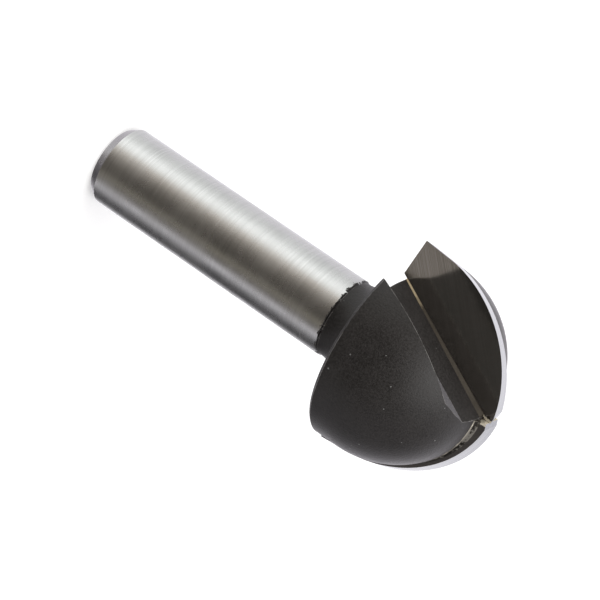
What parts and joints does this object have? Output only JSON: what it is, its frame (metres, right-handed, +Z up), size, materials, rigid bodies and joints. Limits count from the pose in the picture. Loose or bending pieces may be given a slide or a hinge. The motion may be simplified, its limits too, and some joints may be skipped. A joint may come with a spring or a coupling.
{
  "type": "router bit",
  "caption": "Ball-nose router bit with a ground straight shank, a black turned steel head and brazed carbide cutting tips.",
  "frame": {"origin": "centre of the shank's flat end face", "axes": "+Z up the bit's axis to the ball nose, +X outwards along the first carbide tip; it cuts turning right-handed about +Z"},
  "size_m": [0.0318, 0.0294, 0.0673],
  "materials": {
    "steel": "bright ground shank, matte black finish on neck and head",
    "carbide": "fine ground",
    "braze": "as flowed"
  },
  "bodies": {
    "root": {"body": "steel", "carbide_tip_1": "carbide", "carbide_tip_2": "carbide", "braze_seam_1": "braze", "braze_seam_2": "braze"}
  },
  "joints": []
}
